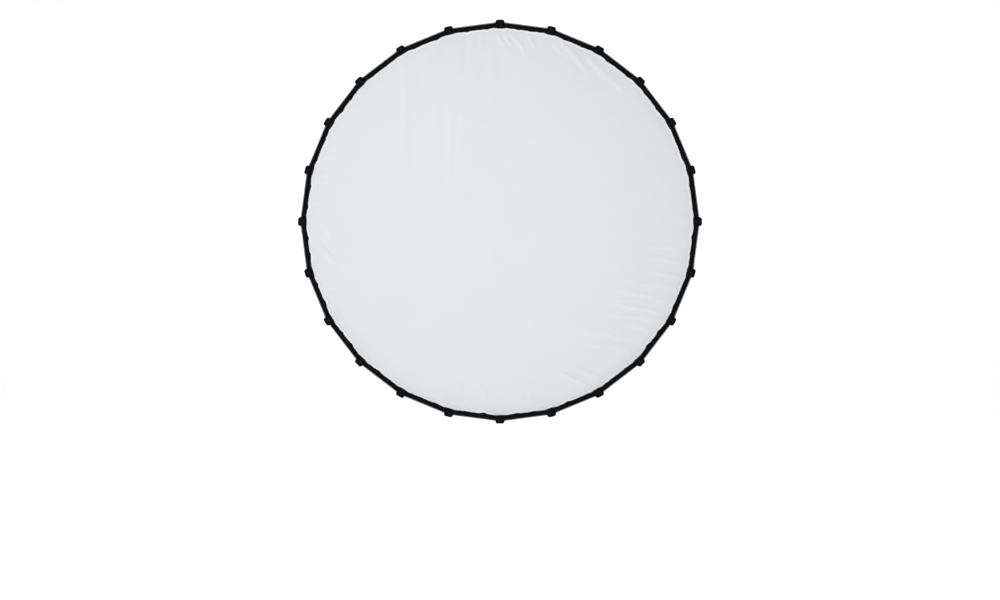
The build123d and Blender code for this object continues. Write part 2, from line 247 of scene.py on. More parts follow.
@dataclass(frozen=True)
class Cloth:
    """A woven or looped cloth finish.

    Threads are counted to the metre on the piece's own cloth map. patches and fuzz are the scales of
    the broad and the fine unevenness, relief_depth is the threads' full height, and rip_pitch is the
    distance between a ripstop's thicker threads.
    """

    name: str
    dark: tuple[float, float, float]
    light: tuple[float, float, float]
    weave: Weave = Weave.PLAIN
    threads: float = 700.0
    rough: float = 0.8
    relief: float = 0.35
    sheen: float = 0.0
    metallic: float = 0.0
    shine: float = 0.3
    patches: float = 9.0
    fuzz: float = 420.0
    relief_depth: float = 0.4 * MM
    rip_pitch: float = 5 * MM

    def build(self) -> bpy.types.Material:
        """The cloth's material."""
        fixed = {"Sheen_Weight": self.sheen, "Sheen_Roughness": 0.5, "Metallic": self.metallic}
        shader = Shader(self.name, Specular_IOR_Level=self.shine, **fixed)
        flat, place = shader.cloth_place(), shader.place()
        broad = shader.noise(place, self.patches, 4.0)
        fine = shader.noise(place, self.fuzz, 2.0)
        shader.feed("Base Color", shader.ramp(broad * 0.7 + fine * 0.3, self.dark, self.light))
        shader.feed("Roughness", self.rough - 0.1 + fine * 0.2)
        shader.bump(self._height(shader, flat, fine), self.relief, self.relief_depth)
        return shader.material

    def _height(self, shader: Shader, flat: Value, fine: Value) -> Value:
        """The relief of the threads.

        Args:
            shader: the material being built.
            flat: the cloth map.
            fine: fine noise.

        Returns:
            The height, about 0 to 1.
        """
        if self.weave is Weave.LOOP:
            return shader.noise(flat, 900.0, 4.0)
        across = shader.node("ShaderNodeSeparateXYZ", {}, {0: flat}, "X")
        along = shader.node("ShaderNodeSeparateXYZ", {}, {0: flat}, "Y")
        turn = 2 * math.pi * self.threads
        threads = (across * turn).sine() * (along * turn).sine() * 0.4 + 0.5
        if self.weave is Weave.RIPSTOP:
            grid = 2 * math.pi / self.rip_pitch
            ribs = (across * grid).sine().absolute() * (along * grid).sine().absolute()
            threads = threads + (1 - (ribs * 8.0).at_most(1.0)) * 0.5
        return threads + fine * 0.3


@dataclass(frozen=True)
class Moulding:
    """A moulded plastic finish with a fine spark-eroded grain."""

    name: str
    dark: tuple[float, float, float]
    light: tuple[float, float, float]
    rough: float = 0.5
    grain: float = 900.0
    relief: float = 0.15
    coat: float = 0.0
    shine: float = 0.5

    def build(self) -> bpy.types.Material:
        """The plastic's material."""
        fixed = {"Coat_Weight": self.coat, "Coat_Roughness": 0.12, "Specular_IOR_Level": self.shine}
        shader = Shader(self.name, **fixed)
        place = shader.place()
        broad, grain = shader.noise(place, 25.0, 4.0), shader.noise(place, self.grain, 2.0)
        shader.feed("Base Color", shader.ramp(broad, self.dark, self.light))
        shader.feed("Roughness", self.rough - 0.12 + broad * 0.14 + grain * 0.1)
        shader.bump(grain, self.relief, 0.0003)
        return shader.material


@dataclass(frozen=True)
class Metal:
    """A metal finish, turned or drawn along one axis of the model."""

    name: str
    dark: tuple[float, float, float]
    light: tuple[float, float, float]
    rough: float = 0.32
    stretch: tuple[float, float, float] = (1.0, 1.0, 1.0)
    relief: float = 0.12

    def build(self) -> bpy.types.Material:
        """The metal's material."""
        shader = Shader(self.name, Metallic=1.0)
        place = shader.place()
        broad = shader.noise(place, 30.0, 4.0)
        lines = shader.noise(place, 1400.0, 2.0, self.stretch)
        shader.feed("Base Color", shader.ramp(broad * 0.6 + lines * 0.4, self.dark, self.light))
        shader.feed("Roughness", self.rough - 0.08 + lines * 0.12 + broad * 0.08)
        shader.bump(lines, self.relief, 0.0001)
        return shader.material


@dataclass(frozen=True)
class StudioPaint:
    """The plain pale finish of the floor and the backdrop."""

    name: str
    colour: tuple[float, float, float]
    glow: float = 0.0

    def build(self) -> bpy.types.Material:
        """The paint's material."""
        shader = Shader(self.name, Base_Color=(*self.colour, 1), Roughness=0.9, Emission_Strength=self.glow)
        shader.principled.inputs["Emission Color"].default_value = (1, 1, 1, 1)
        return shader.material


class Finishes:
    """Every finish, built once."""

    def __init__(self) -> None:
        """Builds the materials."""
        self.bowl_cloth = Cloth(
            "bowl_nylon", (0.004, 0.004, 0.005), (0.011, 0.011, 0.012), Weave.RIPSTOP,
            threads=900, rough=0.6, relief=0.3, shine=0.25,
        ).build()
        self.lining = Cloth(
            "silver_lining", (0.42, 0.42, 0.43), (0.6, 0.6, 0.61),
            threads=800, rough=0.42, relief=0.25, metallic=0.7,
        ).build()
        self.front_cloth = Cloth(
            "diffusion_cloth", (0.655, 0.665, 0.69), (0.675, 0.685, 0.71),
            threads=900, rough=0.85, relief=0.1, sheen=0.1,
        ).build()
        self.hem = Cloth(
            "white_hem", (0.78, 0.785, 0.79), (0.82, 0.825, 0.83),
            threads=600, rough=0.85, relief=0.3, sheen=0.1,
        ).build()
        self.inner_cloth = Cloth(
            "baffle_cloth", (0.7, 0.7, 0.71), (0.76, 0.76, 0.77),
            threads=800, rough=0.85, relief=0.15, sheen=0.1,
        ).build()
        self.binding = Cloth(
            "rim_binding", (0.003, 0.003, 0.0035), (0.006, 0.006, 0.007), Weave.LOOP,
            rough=0.95, relief=0.4, shine=0.05,
        ).build()
        self.seam_tape = Cloth(
            "seam_tape", (0.006, 0.006, 0.007), (0.014, 0.014, 0.015),
            threads=500, rough=0.75, relief=0.5, shine=0.2,
        ).build()
        self.piping = Cloth(
            "rim_piping", (0.34, 0.34, 0.35), (0.44, 0.44, 0.45), threads=600, rough=0.7, relief=0.3
        ).build()
        self.thread = Cloth(
            "sewing_thread", (0.02, 0.02, 0.022), (0.045, 0.045, 0.047), threads=900, rough=0.6, relief=0.3
        ).build()
        self.white_thread = Cloth(
            "white_thread", (0.8, 0.8, 0.81), (0.9, 0.9, 0.9), threads=900, rough=0.7, relief=0.3
        ).build()
        self.rib_plastic = Moulding(
            "rib_black", (0.0015, 0.0015, 0.002), (0.0035, 0.0035, 0.004),
            rough=0.55, grain=700, relief=0.12, shine=0.04,
        ).build()
        self.hub_nylon = Moulding(
            "hub_nylon", (0.012, 0.012, 0.013), (0.026, 0.026, 0.028), rough=0.55, grain=800, relief=0.3
        ).build()
        self.button_red = Moulding(
            "button_red", (0.42, 0.012, 0.01), (0.55, 0.02, 0.016),
            rough=0.3, grain=600, relief=0.06, coat=0.4,
        ).build()
        self.link_steel = Moulding(
            "link_enamel", (0.015, 0.015, 0.016), (0.03, 0.03, 0.032),
            rough=0.36, grain=500, relief=0.2, coat=0.2,
        ).build()
        self.aluminium = Metal(
            "turned_aluminium", (0.27, 0.27, 0.275), (0.36, 0.36, 0.365), rough=0.42, stretch=(1, 0.05, 1)
        ).build()
        self.steel = Metal(
            "zinc_steel", (0.5, 0.51, 0.52), (0.66, 0.66, 0.66), rough=0.3, stretch=(1, 0.08, 1)
        ).build()
        self.rivet_steel = Moulding(
            "rivet_dark", (0.0015, 0.0015, 0.002), (0.004, 0.004, 0.0045),
            rough=0.45, grain=700, relief=0.1, shine=0.08,
        ).build()
        self.studio = StudioPaint("studio_white", (0.93, 0.93, 0.93), glow=0.45).build()


# --- meshes --------------------------------------------------------------------------------------
def unit(vectors: np.ndarray) -> np.ndarray:
    """The vectors, each divided by its length."""
    return vectors / np.maximum(np.linalg.norm(vectors, axis=-1, keepdims=True), 1e-12)


def in_frame(r: np.ndarray, f: np.ndarray, across: np.ndarray, angle: float) -> np.ndarray:
    """Points of a rib's plane, moved across it, in the model's frame.

    Args:
        r: out from the lamp's axis.
        f: forward from the seat.
        across: sideways from the rib's plane.
        angle: the rib's place round the axis, from the top.

    Returns:
        The points.
    """
    c, s = math.cos(angle), math.sin(angle)
    return np.stack([r * s + across * c, -f, r * c - across * s], axis=-1)


class Sheet:
    """A closed thin wall between a grid of front points and the same grid moved back."""

    def __init__(self, name: str, front: np.ndarray, normals: np.ndarray,
                 thickness: np.ndarray | float) -> None:
        """Holds the grid.

        Args:
            name: the object's name.
            front: points, rows by columns by 3.
            normals: the front's unit normals.
            thickness: of the wall, the same all over or for each point.
        """
        self.name = name
        self.front = front
        self.normals = normals
        self.back = front - normals * (thickness if np.isscalar(thickness) else thickness[..., None])
        self.flat = np.zeros(front.shape[:2] + (2,))

    def build(self, materials: Sequence[bpy.types.Material], kind: Callable[[int, int, bool], int],
              pole: bool = False) -> bpy.types.Object:
        """Makes the object, shaded by the grid's own normals so that neighbouring sheets meet unseen.

        Args:
            materials: the object's materials.
            kind: which material a quad has, from its row, its column and whether it is at the front.
            pole: whether the first row is a single point.

        Returns:
            The object.
        """
        rows, columns = self.front.shape[:2]
        points = np.concatenate([self.front.reshape(-1, 3), self.back.reshape(-1, 3)])
        half = rows * columns
        loop_flat = np.concatenate([self.flat.reshape(-1, 2)] * 2)
        wanted = np.concatenate([self.normals.reshape(-1, 3), -self.normals.reshape(-1, 3)])
        faces: list[list[int]] = []
        kinds: list[int] = []
        sides: list[bool] = []

        def index(row: int, column: int) -> int:
            """The point at a place in the grid."""
            return row * columns + (0 if pole and row == 0 else column)

        def add(corners: list[int], material: int, side: bool) -> None:
            """Adds a face, unless its corners fall together."""
            once = list(dict.fromkeys(corners))
            if len(once) > 2:
                faces.append(once)
                kinds.append(material)
                sides.append(side)

        a, b, c = self.front[-2, 0], self.front[-1, 0], self.front[-1, 1]
        flip = np.dot(np.cross(b - a, c - b), self.normals[-1, 0]) < 0
        for row in range(rows - 1):
            for column in range(columns - 1):
                quad = [index(row, column), index(row + 1, column),
                        index(row + 1, column + 1), index(row, column + 1)]
                quad = quad[::-1] if flip else quad
                add(quad, kind(row, column, True), False)
                add([i + half for i in quad[::-1]], kind(row, column, False), False)
        rim = [(rows - 1, column) for column in range(columns)]
        rim += [(row, columns - 1) for row in range(rows - 2, -1, -1)]
        rim += [] if pole else [(0, column) for column in range(columns - 2, -1, -1)]
        rim += [(row, 0) for row in range(0 if pole else 1, rows - 1)]
        rim = rim[:-1] if pole and rim[-1] == rim[0] else rim
        ring = [index(*place) for place in rim]
        for here, there in zip(ring, ring[1:] + ring[:1]):
            edge = [here, here + half, there + half, there]
            add(edge[::-1] if flip else edge, 0, True)
        used = sorted({i for face in faces for i in face})
        lookup = {old: new for new, old in enumerate(used)}
        mesh = bpy.data.meshes.new(self.name)
        mesh.from_pydata(points[used].tolist(), [], [[lookup[i] for i in face] for face in faces])
        for material in materials:
            mesh.materials.append(material)
        mesh.polygons.foreach_set("material_index", kinds)
        mesh.polygons.foreach_set("use_smooth", [True] * len(faces))
        corners = [i for face in faces for i in face]
        layer = mesh.uv_layers.new(name="Cloth")
        layer.data.foreach_set("uv", loop_flat[corners].ravel())
        mesh.update()
        flat_normals = [tuple(polygon.normal) for polygon in mesh.polygons]
        shading = [
            flat_normals[n] if sides[n] else tuple(wanted[i]) for n, face in enumerate(faces) for i in face
        ]
        mesh.normals_split_custom_set(shading)
        made = bpy.data.objects.new(self.name, mesh)
        bpy.context.scene.collection.objects.link(made)
        return made


def loft(name: str, sections: np.ndarray, material: bpy.types.Material, closed: bool = False,
         crease: float = 0.7) -> bpy.types.Object:
    """A closed solid through closed sections.

    Args:
        name: the object's name.
        sections: points, sections by points by 3.
        material: its material.
        closed: whether the last section joins the first, in place of end caps.
        crease: edges sharper than this many radians stay sharp.

    Returns:
        The object.
    """
    count, around = sections.shape[:2]
    faces = []
    for i in range(count if closed else count - 1):
        j = (i + 1) % count
        for k in range(around):
            m = (k + 1) % around
            faces.append([i * around + k, i * around + m, j * around + m, j * around + k])
    if not closed:
        faces.append(list(range(around))[::-1])
        faces.append([(count - 1) * around + k for k in range(around)])
    mesh = bpy.data.meshes.new(name)
    mesh.from_pydata(sections.reshape(-1, 3).tolist(), [], faces)
    mesh.materials.append(material)
    layer = mesh.uv_layers.new(name="Cloth")
    steps = np.concatenate([[0], np.cumsum(np.linalg.norm(np.diff(sections[:, 0], axis=0), axis=-1))])
    girth = np.concatenate([[0], np.cumsum(np.linalg.norm(np.diff(sections[0], axis=0), axis=-1))])
    flat = [(girth[i % around], steps[i // around]) for face in faces for i in face]
    layer.data.foreach_set("uv", np.array(flat).ravel())
    point_outwards(mesh)
    mesh.polygons.foreach_set("use_smooth", [True] * len(faces))
    mesh.set_sharp_from_angle(angle=crease)
    made = bpy.data.objects.new(name, mesh)
    bpy.context.scene.collection.objects.link(made)
    return made


def point_outwards(mesh: bpy.types.Mesh) -> None:
    """Turns a closed mesh's faces outwards if its volume comes out negative."""
    mesh.update()
    volume = 0.0
    for polygon in mesh.polygons:
        corners = [mesh.vertices[i].co for i in polygon.vertices]
        for b, c in zip(corners[1:-1], corners[2:]):
            volume += corners[0].dot(b.cross(c))
    if volume < 0:
        mesh.flip_normals()


# --- the stitches, one tree for every seam ---------------------------------------------------------
@dataclass
class StitchMaker:
    """Sews a row of short stitches along a line, with Geometry Nodes."""

    segments: int = 5
    rings: int = 3
    group: bpy.types.NodeTree = field(init=False)
    sockets: dict[str, str] = field(init=False)

    def __post_init__(self) -> None:
        """Builds the tree."""
        group = bpy.data.node_groups.new("stitch_row", "GeometryNodeTree")
        face, nodes, links = group.interface, group.nodes, group.links
        face.new_socket("Geometry", in_out="INPUT", socket_type="NodeSocketGeometry")
        names = {"Pitch": 0.004, "Length": 0.003, "Width": 0.0008}
        self.sockets = {}
        for name, default in names.items():
            socket = face.new_socket(name, in_out="INPUT", socket_type="NodeSocketFloat")
            socket.default_value = default
            self.sockets[name] = socket.identifier
        thread = face.new_socket("Thread", in_out="INPUT", socket_type="NodeSocketMaterial")
        self.sockets["Thread"] = thread.identifier
        face.new_socket("Geometry", in_out="OUTPUT", socket_type="NodeSocketGeometry")
        given, result = nodes.new("NodeGroupInput"), nodes.new("NodeGroupOutput")
        line = nodes.new("GeometryNodeMeshToCurve")
        points = nodes.new("GeometryNodeCurveToPoints")
        points.mode = "LENGTH"
        turn = nodes.new("FunctionNodeAlignRotationToVector")
        turn.axis = "X"
        bead = nodes.new("GeometryNodeMeshUVSphere")
        bead.inputs["Segments"].default_value = self.segments
        bead.inputs["Rings"].default_value = self.rings
        bead.inputs["Radius"].default_value = 0.5
        size = nodes.new("ShaderNodeCombineXYZ")
        place = nodes.new("GeometryNodeInstanceOnPoints")
        real, paint = nodes.new("GeometryNodeRealizeInstances"), nodes.new("GeometryNodeSetMaterial")
        for source, output, target, entry in (
            (given, "Geometry", line, 0),
            (line, 0, points, "Curve"),
            (given, "Pitch", points, "Length"),
            (points, "Tangent", turn, "Vector"),
            (given, "Length", size, "X"),
            (given, "Width", size, "Y"),
            (given, "Width", size, "Z"),
            (points, "Points", place, "Points"),
            (bead, "Mesh", place, "Instance"),
            (turn, 0, place, "Rotation"),
            (size, 0, place, "Scale"),
            (place, 0, real, 0),
            (real, 0, paint, "Geometry"),
            (given, "Thread", paint, "Material"),
            (paint, 0, result, 0),
        ):
            links.new(source.outputs[output], target.inputs[entry])
        self.group = group

    def sew(self, name: str, lines: Sequence[np.ndarray], thread: bpy.types.Material, pitch: float,
            length: float, width: float) -> bpy.types.Object:
        """Sews along lines.

        Args:
            name: the object's name.
            lines: each a row of points.
            thread: the stitches' material.
            pitch: from one stitch to the next.
            length: of a stitch.
            width: of a stitch.

        Returns:
            The stitches, as one plain mesh.
        """
        points = [tuple(point) for line in lines for point in line]
        edges, start = [], 0
        for line in lines:
            edges += [(start + i, start + i + 1) for i in range(len(line) - 1)]
            start += len(line)
        mesh = bpy.data.meshes.new(f"{name}_line")
        mesh.from_pydata(points, edges, [])
        path = bpy.data.objects.new(f"{name}_line", mesh)
        bpy.context.scene.collection.objects.link(path)
        modifier = path.modifiers.new("stitches", "NODES")
        modifier.node_group = self.group
        for key, value in {"Pitch": pitch, "Length": length, "Width": width, "Thread": thread}.items():
            modifier[self.sockets[key]] = value
        bpy.context.view_layer.update()
        shaped = path.evaluated_get(bpy.context.evaluated_depsgraph_get())
        sewn = bpy.data.meshes.new_from_object(shaped)
        bpy.data.objects.remove(path)
        sewn.name = name
        sewn.polygons.foreach_set("use_smooth", [True] * len(sewn.polygons))
        layer = sewn.uv_layers.get("Cloth") or sewn.uv_layers.new(name="Cloth")
        layer.data.foreach_set("uv", [0.0] * (2 * len(sewn.loops)))
        made = bpy.data.objects.new(name, sewn)
        bpy.context.scene.collection.objects.link(made)
        return made


# --- the rib, which everything follows --------------------------------------------------------------
@dataclass(frozen=True)
class RibLine:
    """The open rib's centre line, the same as in the model."""

    hinge_r: float = 0.082
    hinge_f: float = 0.015
    root_angle: float = math.radians(28)
    tip_angle: float = math.radians(70)
    root_length: float = 0.088
    tip_r: float = 0.592
    fold: float = math.radians(39.726)

    @property
    def bend(self) -> float:
        """The bend's radius."""
        root_end = self.hinge_r + self.root_length * math.cos(self.root_angle)
        return (self.tip_r - root_end) / (math.sin(self.tip_angle) - math.sin(self.root_angle))

    @property
    def length(self) -> float:
        """From the hinge to the tip along the rib."""
        return self.root_length + self.bend * (self.tip_angle - self.root_angle)

    def at(self, distance: np.ndarray, side: np.ndarray | float = 0.0) -> tuple[np.ndarray, np.ndarray]:
        """A point on the rib, or beside it.

        Args:
            distance: from the hinge along the rib.
            side: out from the centre line.

        Returns:
            Its r and f.
        """
        straight = np.minimum(distance, self.root_length)
        angle = self.root_angle + np.maximum(distance - self.root_length, 0) / self.bend
        c, s = math.cos(self.root_angle), math.sin(self.root_angle)
        r = self.hinge_r + straight * c + self.bend * (np.sin(angle) - s)
        f = self.hinge_f + straight * s - self.bend * (np.cos(angle) - c)
        return r + side * np.sin(angle), f - side * np.cos(angle)

    def shrink(self, r: float, f: float) -> float:
        """How many times nearer the axis a point that turns with the rib is once folded."""
        out, forward = r - self.hinge_r, f - self.hinge_f
        folded = self.hinge_r + out * math.cos(self.fold) - forward * math.sin(self.fold)
        return folded / r


RIB = RibLine()


@dataclass
class RibPlace:
    """One rib's place round the axis, with what its pieces need to ride on it."""

    number: int

    @property
    def tag(self) -> str:
        """The rib's number as two digits."""
        return f"{self.number + 1:02d}"

    @property
    def body(self) -> str:
        """The rib's body."""
        return f"rib_{self.tag}"

    @property
    def angle(self) -> float:
        """The rib's place round the axis, from the top."""
        return self.number * STEP

    @property
    def outward(self) -> tuple[float, float, float]:
        """The direction out from the axis."""
        return (math.sin(self.angle), 0.0, math.cos(self.angle))

    @property
    def tangent(self) -> tuple[float, float, float]:
        """The direction across the rib's plane."""
        return (math.cos(self.angle), 0.0, -math.sin(self.angle))

    def point(self, r: float, f: float) -> tuple[float, float, float]:
        """A point of the rib's plane in the model's frame."""
        return (r * math.sin(self.angle), -f, r * math.cos(self.angle))

    def gather(self, piece: bpy.types.Object, keep: float) -> None:
        """Rides a cloth piece on the rib, with a mesh of its own."""
        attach(piece, self.body)
        self.point(RIB.hinge_r, RIB.hinge_f)
        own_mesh(piece)

    def draw_in(self, piece: bpy.types.Object, r: float, f: float, keep: float) -> None:
        """Rides a cloth piece on the rib, with a mesh of its own."""
        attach(piece, self.body)
        self.point(r, f)
        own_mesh(piece)


RIBS = [RibPlace(i) for i in range(RIB_COUNT)]


def ripple(a: np.ndarray, b: np.ndarray, seed: int, waves: Sequence[tuple[float, float]]) -> np.ndarray:
    """Smooth unevenness, the same each run.

    Args:
        a: the place round the axis, in ribs, so that whole waves close up.
        b: the other coordinate, in metres.
        seed: chooses the phases.
        waves: pairs of waves round the axis and radians to the metre.

    Returns:
        Values of about -1 to 1.
    """
    phases = np.random.default_rng(seed).uniform(0, 2 * math.pi, len(waves))
    turns = 2 * math.pi / RIB_COUNT
    return sum(np.sin(a * turns * n + b * k + p) for (n, k), p in zip(waves, phases)) / len(waves)


# --- the bowl ---------------------------------------------------------------------------------------
@dataclass
class Bowl:
    """The black cloth bowl: gores between seams that run along the ribs.

    side: the cloth's height over the ribs' centre lines. start: where the gores begin, along a rib.
    sag: how far a gore's middle draws in between its ribs. slack and pull: the heights of the soft
    unevenness and of the tight tucks by the rim.
    Profiles are in millimetres, but for the tape's first number, which is a share of its half width.
    """

    finishes: Finishes
    stitcher: StitchMaker
    side: float = 6.0 * MM
    wall: float = 1.0 * MM
    start: float = 46 * MM
    zones: int = 6
    sag: float = 9.0 * MM
    slack: float = 1.6 * MM
    pull: float = 0.6 * MM
    collar_r: float = 94.0 * MM
    collar_f: float = 8.0 * MM
    tape_half: float = 9.0 * MM
    columns: int = 17
    rows: int = 15
    neck_steps: int = 9
    neck_width: float = 0.033
    neck_length: float = 0.038
    neck_middle_r: float = 0.11
    elastic_steps: int = 288
    seam_steps: int = 70
    broad_waves: tuple[tuple[float, float], ...] = ((48, 9), (72, -14), (24, 21), (7, 12), (11, -17))
    tight_waves: tuple[tuple[float, float], ...] = ((120, 30), (96, -38), (144, 22), (168, -18))
    elastic_profile: tuple[tuple[float, float], ...] = (
        (-1.6, -3), (-1.2, -4.2), (0.6, -4.6), (2.0, -4.0), (2.4, 0),
        (2.0, 4.0), (0.6, 4.6), (-1.2, 4.2), (-1.6, 3),
    )
    tape_profile: tuple[tuple[float, float], ...] = (
        (-1, -0.4), (-1, 0.5), (-0.9, 0.9), (-0.45, 1.0), (-0.3, 1.7), (-0.12, 2.4),
        (0.12, 2.4), (0.3, 1.7), (0.45, 1.0), (0.9, 0.9), (1, 0.5), (1, -0.4),
    )

    def surface(self, number: float, turn: np.ndarray, along: np.ndarray) -> np.ndarray:
        """The bowl's outside.

        Args:
            number: the rib that the strip belongs to.
            turn: from -1 to 1 across the strip, which runs from mid-gore to mid-gore.
            along: distances along the rib.

        Returns:
            The points.
        """
        r, f = RIB.at(along, self.side)
        share = np.abs(turn)
        flat = r * math.cos(HALF_STEP)
        across = flat * math.sin(HALF_STEP) * turn
        out = r * (1 - share) + flat * math.cos(HALF_STEP) * share
        reach = np.clip((along - self.start) / (RIB.length - self.start), 0, 1)
        angle = RIB.root_angle + np.maximum(along - RIB.root_length, 0) / RIB.bend
        hollow = self.sag * np.sin(np.pi * reach) ** 0.8 * np.sin(np.pi * share / 2)
        place = number + turn / 2
        soft = ripple(place, along, 5, self.broad_waves)
        tight = ripple(place, along, 8, self.tight_waves)
        loose = np.sin(np.pi * reach) * np.sin(np.pi * share) ** 2 + 0.15 * np.sin(np.pi * reach)
        near_rim = np.exp(-((1 - reach) / 0.06) ** 2) * np.sin(np.pi * share) ** 2
        inward = hollow + self.slack * soft * loose + self.pull * tight * near_rim
        out, f = out - inward * np.sin(angle), f + inward * np.cos(angle)
        return in_frame(out, f, across, number * STEP)

    def strip(self, number: int, turns: np.ndarray, along: np.ndarray) -> tuple[np.ndarray, np.ndarray]:
        """A grid of the outside with its normals.

        Args:
            number: the rib.
            turns: the columns.
            along: the rows.

        Returns:
            Points and unit normals, rows by columns by 3.
        """
        rows, columns = np.meshgrid(along, turns, indexing="ij")
        points = self.surface(number, columns, rows)
        step = 0.002
        ahead = self.surface(number, columns, rows + step) - self.surface(number, columns, rows - step)
        inside = np.clip(columns, -1 + step, 1 - step)
        aside = self.surface(number, inside + step, rows) - self.surface(number, inside - step, rows)
        middle = in_frame(np.zeros_like(rows), np.zeros_like(rows), np.ones_like(rows), number * STEP)
        edge = (np.abs(columns) > 1 - 2 * step)[..., None]
        slope = np.sign(columns)[..., None] * HALF_STEP
        outward = in_frame(np.ones_like(rows), np.zeros_like(rows), np.zeros_like(rows), number * STEP)
        chord = middle * np.cos(slope) - outward * np.sin(slope)
        aside = np.where(edge, chord, aside)
        return points, unit(np.cross(ahead, aside))

    def zone_edges(self) -> np.ndarray:
        """Where one gathered zone ends and the next begins, along the rib."""
        shares = np.linspace(0, 1, self.zones + 1)
        return self.start + (RIB.length - 1 * MM - self.start) * shares**0.92

    def make_gores(self) -> list[bpy.types.Object]:
        """Makes each rib's strip of cloth in zones.

        Returns:
            The pieces.
        """
        edges = self.zone_edges()
        even, middle = np.linspace(-1, 1, self.columns), self.columns // 2
        turns = np.sin(even * math.pi / 2) * 0.35 + even * 0.65
        materials = [self.finishes.bowl_cloth, self.finishes.lining]
        made = []
        for rib in RIBS:
            for zone, (low, high) in enumerate(zip(edges[:-1], edges[1:])):
                along = np.linspace(low, high, self.rows)
                points, normals = self.strip(rib.number, turns, along)
                sheet = Sheet(f"gore_{rib.tag}_zone{zone + 1}", points, normals, self.wall)
                aside = np.linalg.norm(points - points[:, middle:middle + 1], axis=-1)
                sheet.flat[..., 0] = aside * np.sign(turns)
                sheet.flat[..., 1] = along[:, None]
                piece = sheet.build(materials, lambda row, column, front: 0 if front else 1)
                r_low, f_low = RIB.at(np.array(low))
                r_high, f_high = RIB.at(np.array(high))
                first = RIB.shrink(float(r_low), float(f_low))
                last = RIB.shrink(float(r_high), float(f_high))
                rib.gather(piece, 0.8 * first + 0.2 * last)
                width = float(2 * r_high * math.tan(HALF_STEP))
                narrow = float(2 * r_low * math.tan(HALF_STEP))
                area = (width + narrow) / 2 * float(high - low)
                flat = (width, float(high - low))
                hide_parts("outer_shell")
                made.append(piece)
        return made

    def make_skirts(self) -> list[bpy.types.Object]:
        """Makes the cloth between the hub and each rib's first zone, and the elastic on the hub.

        Returns:
            The pieces.
        """
        made = []
        steps = self.neck_steps
        turns = np.linspace(-1, 1, steps)
        for rib in RIBS:
            outer = self.surface(rib.number, turns, np.full(steps, self.start))
            inner = in_frame(
                self.collar_r * (1 - np.abs(turns) * (1 - math.cos(HALF_STEP) ** 2)),
                np.full(steps, self.collar_f),
                self.collar_r * math.cos(HALF_STEP) * math.sin(HALF_STEP) * turns,
                rib.angle,
            )
            share = np.linspace(0, 1, steps)[:, None, None]
            points = inner[None] * (1 - share) + outer[None] * share
            down = unit(outer - inner)[None].repeat(steps, axis=0)
            side = np.array(rib.tangent) * np.ones_like(points)
            normals = unit(np.cross(down, side))
            tucks = np.sin(turns * math.pi * 3)[None, :, None] * np.sin(np.pi * share)
            points = points + normals * 0.5 * MM * tucks
            sheet = Sheet(f"neck_{rib.tag}", points, normals, self.wall)
            sheet.flat[..., 0] = turns[None, :] * 0.012
            sheet.flat[..., 1] = np.linspace(0, self.neck_length, steps)[:, None]
            materials = [self.finishes.bowl_cloth, self.finishes.lining]
            piece = sheet.build(materials, lambda row, column, front: 0 if front else 1)
            r_end, f_end = RIB.at(np.array(self.start), self.side)
            start, end = rib.point(self.collar_r, self.collar_f), rib.point(float(r_end), float(f_end))
            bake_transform(piece)
            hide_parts("outer_shell")
            made.append(piece)
        made.append(self._elastic())
        return made

    def _elastic(self) -> bpy.types.Object:
        """The gathered elastic hem that holds the cloth on the hub."""
        turns = np.linspace(0, 2 * math.pi, self.elastic_steps + 1)[:-1]
        sections = []
        for turn in turns:
            swell = 1 + 0.16 * math.sin(turn * 72) + 0.06 * math.sin(turn * 31 + 1)
            inside, middle = self.collar_r + 0.2 * MM, self.collar_f + 1.5 * MM
            r = np.array([inside + out * MM * (swell if out > 0 else 1) for out, _ in self.elastic_profile])
            f = np.array([middle + deep * MM for _, deep in self.elastic_profile])
            sections.append(in_frame(r, f, np.zeros_like(r), turn))
        piece = loft("neck_elastic", np.array(sections), self.finishes.seam_tape, closed=True, crease=1.2)
        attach(piece, "frame")
        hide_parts("outer_shell")
        return piece

    def make_seams(self) -> list[bpy.types.Object]:
        """Makes the taped seam along each rib, with its two rows of stitches.

        Returns:
            The pieces.
        """
        along = np.linspace(self.start + 2 * MM, RIB.length - 19 * MM, self.seam_steps)
        r, _ = RIB.at(along, self.side)
        half_width = r * math.cos(HALF_STEP) * math.sin(HALF_STEP)
        made = []
        for rib in RIBS:
            columns = []
            for across, height in self.tape_profile:
                turn = across * self.tape_half / half_width
                base = self.surface(rib.number, turn, along)
                ahead = self.surface(rib.number, turn, along + 1 * MM) - base
                normal = unit(np.cross(ahead, np.array(rib.tangent) * np.ones_like(base)))
                columns.append(base + normal * height * MM)
            sections = np.stack(columns, axis=1)
            tape = loft(f"seam_{rib.tag}", sections, self.finishes.seam_tape, crease=1.0)
            lines = [sections[:, 3] + (sections[:, 2] - sections[:, 3]) * 0.65,
                     sections[:, 8] + (sections[:, 9] - sections[:, 8]) * 0.65]
            sewn = self.stitcher.sew(
                f"seam_stitches_{rib.tag}", lines, self.finishes.thread,
                pitch=4.4 * MM, length=3.4 * MM, width=0.9 * MM,
            )
            for piece in (tape, sewn):
                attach(piece, rib.body)
                made.append(piece)
        return made


